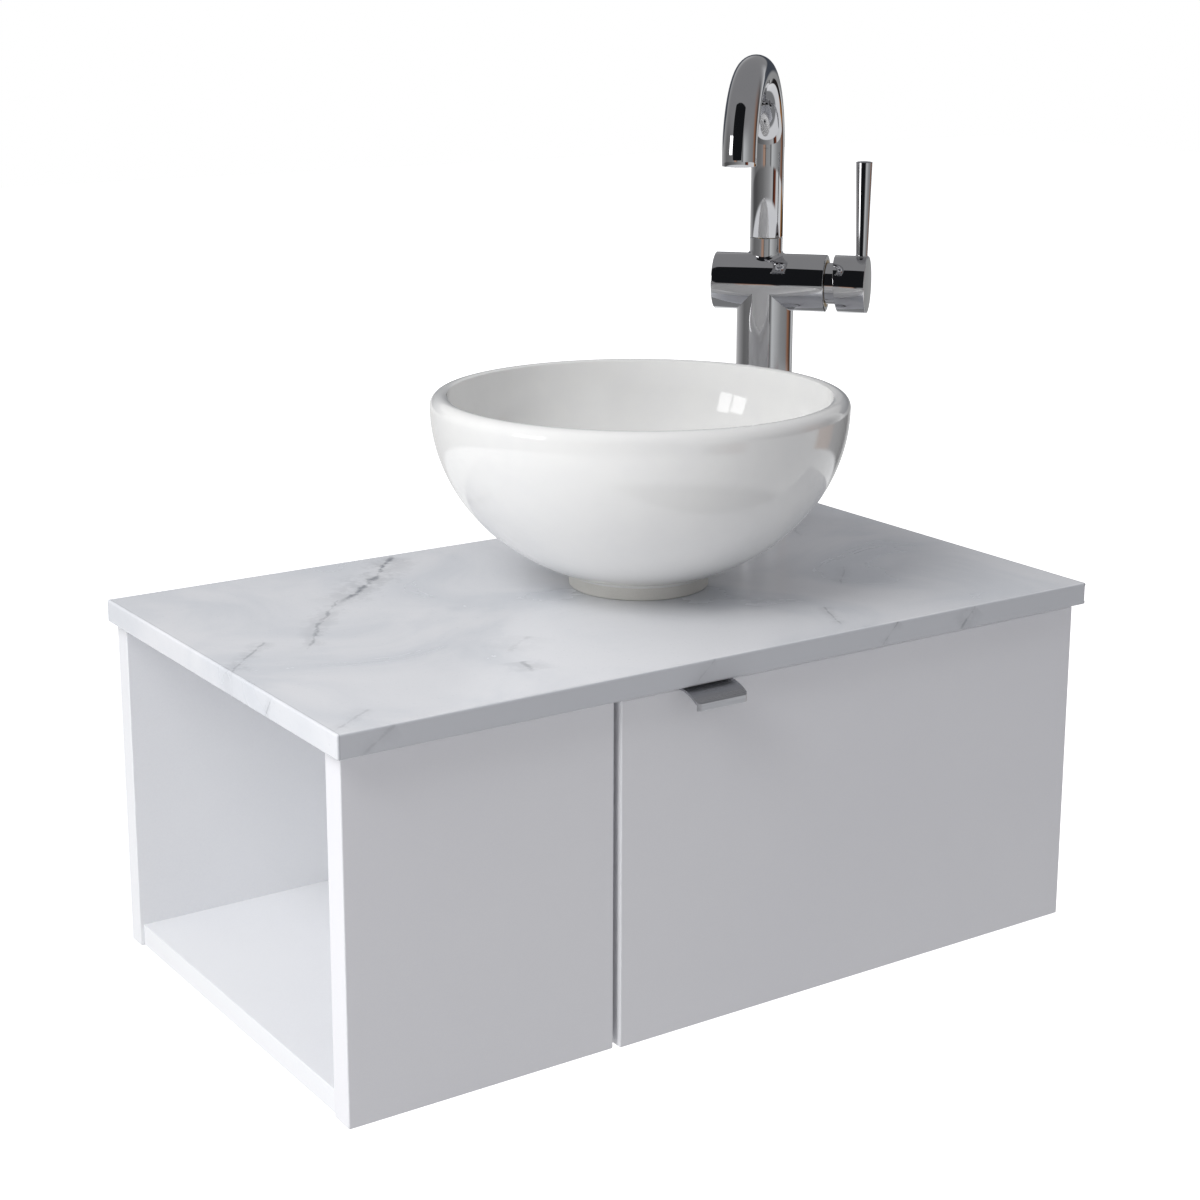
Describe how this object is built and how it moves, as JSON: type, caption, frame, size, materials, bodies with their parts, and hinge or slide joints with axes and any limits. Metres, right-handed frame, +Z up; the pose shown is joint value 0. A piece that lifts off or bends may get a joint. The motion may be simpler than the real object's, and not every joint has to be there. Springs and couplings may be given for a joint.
{
  "type": "wall-hung vanity with vessel basin",
  "caption": "Wall-hung vanity cabinet with a marble-look countertop, a round vessel basin, a tall single-lever mixer, a hinged door with a tab pull and an open end compartment.",
  "frame": {"origin": "on the wall plane, at the middle of the countertop's width, level with the cabinet's underside", "axes": "+X to the right seen from the front, +Y into the wall, +Z up"},
  "size_m": [0.6002, 0.3558, 0.6197],
  "materials": {
    "marble": "satin",
    "white_board": "satin lacquer",
    "white_front": "satin lacquer",
    "beech": "raw",
    "zinc_steel": "zinc plated",
    "pull_metal": "brushed",
    "hinge_steel": "nickel plated",
    "bumper_rubber": "soft",
    "white_glaze": "gloss glaze",
    "black_rubber": "matte",
    "chrome": "mirror polish",
    "raw_brass": "machined",
    "white_plastic": "satin",
    "grey_plastic": "satin",
    "blue_plastic": "satin"
  },
  "bodies": {
    "cabinet": {"countertop": "marble", "back_panel": "white_board", "bottom_panel": "white_board", "side_panel": "white_board", "divider_panel": "white_board", "fixed_front": "white_front", "top_rail_front": "white_board", "top_rail_back": "white_board", "carcass_dowels": "beech", "back_screws": "zinc_steel", "countertop_brackets": "zinc_steel", "bracket_screws": "zinc_steel", "hinge_arms": "hinge_steel", "hinge_plates": "hinge_steel", "hinge_plate_screws": "zinc_steel", "basin": "white_glaze", "basin_gasket": "black_rubber", "waste_body": "chrome", "waste_seal": "black_rubber", "plug_guide": "grey_plastic", "waste_washer": "black_rubber", "waste_nut": "raw_brass", "trap_inlet_nut": "white_plastic", "trap_tailpiece": "white_plastic", "trap_body": "white_plastic", "trap_cup": "white_plastic", "trap_seals": "black_rubber", "trap_outlet_nut": "white_plastic", "trap_outlet_tube": "white_plastic", "mixer_base_ring": "chrome", "mixer_base_gasket": "black_rubber", "mixer_body": "chrome", "mixer_shank": "raw_brass", "mixer_washer": "black_rubber", "mixer_nut": "raw_brass", "cartridge": "blue_plastic", "cartridge_nut": "raw_brass", "spout_nipple": "raw_brass", "spout_orings": "black_rubber", "spout_clip": "zinc_steel"},
    "door": {"door_panel": "white_front", "door_pull": "pull_metal", "pull_screws": "zinc_steel", "hinge_cups": "hinge_steel", "hinge_pins": "hinge_steel", "hinge_cup_screws": "zinc_steel", "door_bumpers": "bumper_rubber"},
    "plug": {"waste_plug": "chrome", "plug_seal": "black_rubber"},
    "turntable": {"lever_turntable": "chrome", "lever_pin": "hinge_steel"},
    "lever": {"lever_spindle": "raw_brass", "lever_knob": "chrome", "lever_rod": "chrome", "lever_set_screw": "zinc_steel"},
    "spout": {"spout_tube": "chrome", "spout_bush": "grey_plastic", "aerator_housing": "grey_plastic", "aerator_insert": "grey_plastic"}
  },
  "joints": [
    {"name": "door_hinge", "type": "hinge", "parent": "cabinet", "child": "door", "pos_m": [0.29, -0.3264, 0.118], "axis": [0, 0, 1], "range_deg": [0, 100]},
    {"name": "plug_lift", "type": "slide", "parent": "cabinet", "child": "plug", "axis": [0, 0, 1], "range_m": [0, 0.009]},
    {"name": "lever_temperature", "type": "hinge", "parent": "cabinet", "child": "turntable", "pos_m": [0.2304, -0.0567, 0.4438], "axis": [0.6665, -0.7455, 0], "range_deg": [-45, 45]},
    {"name": "lever_flow", "type": "hinge", "parent": "turntable", "child": "lever", "pos_m": [0.26106, -0.09099, 0.4438], "axis": [0.7455, 0.6665, 0], "range_deg": [0, 22]},
    {"name": "spout_swivel", "type": "hinge", "parent": "cabinet", "child": "spout", "pos_m": [0.2304, -0.0567, 0.4786], "axis": [0, 0, 1], "range_deg": [-60, 60]}
  ]
}
